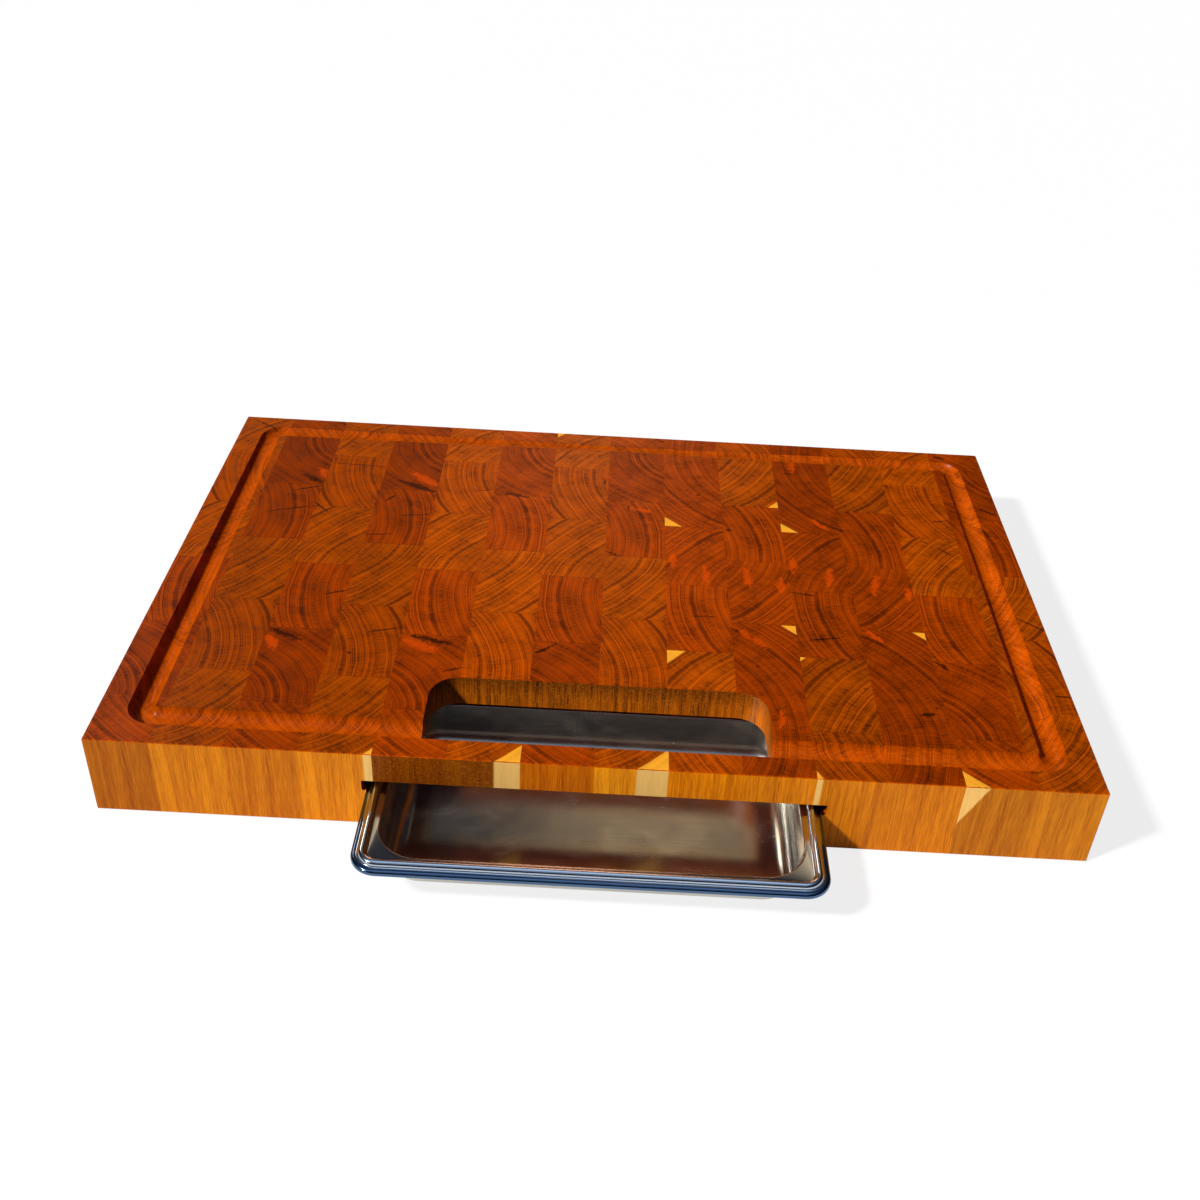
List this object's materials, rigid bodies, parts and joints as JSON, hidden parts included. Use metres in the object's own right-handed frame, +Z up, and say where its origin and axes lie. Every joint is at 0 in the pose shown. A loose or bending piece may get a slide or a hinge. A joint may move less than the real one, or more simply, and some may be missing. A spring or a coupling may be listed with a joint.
{
  "type": "cutting board with sliding tray",
  "caption": "End-grain wooden cutting board with a juice groove all round, a scrap chute near its front edge, and a steel tray that slides out from under the chute.",
  "frame": {"origin": "middle of the board's underside", "axes": "+X to the right along the board's length, +Y to its back, +Z up; the tray slides out towards -Y"},
  "size_m": [0.61, 0.474, 0.057],
  "materials": {
    "cherry_end_grain": "oiled, satin",
    "stainless_sheet": "pressed and polished, satin inside"
  },
  "bodies": {
    "board": {"end_grain_strip_01": "cherry_end_grain", "end_grain_strip_02": "cherry_end_grain", "end_grain_strip_03": "cherry_end_grain", "end_grain_strip_04": "cherry_end_grain", "end_grain_strip_05": "cherry_end_grain", "end_grain_strip_06": "cherry_end_grain", "end_grain_strip_07": "cherry_end_grain", "end_grain_strip_08": "cherry_end_grain", "end_grain_strip_09": "cherry_end_grain", "end_grain_strip_10": "cherry_end_grain", "end_grain_strip_11": "cherry_end_grain", "end_grain_strip_12": "cherry_end_grain", "end_grain_strip_13": "cherry_end_grain", "end_grain_strip_14": "cherry_end_grain"},
    "tray": {"steel_tray": "stainless_sheet"}
  },
  "joints": [
    {"name": "tray_slide", "type": "slide", "parent": "board", "child": "tray", "axis": [0, -1, 0], "range_m": [-0.068, 0.1]}
  ]
}
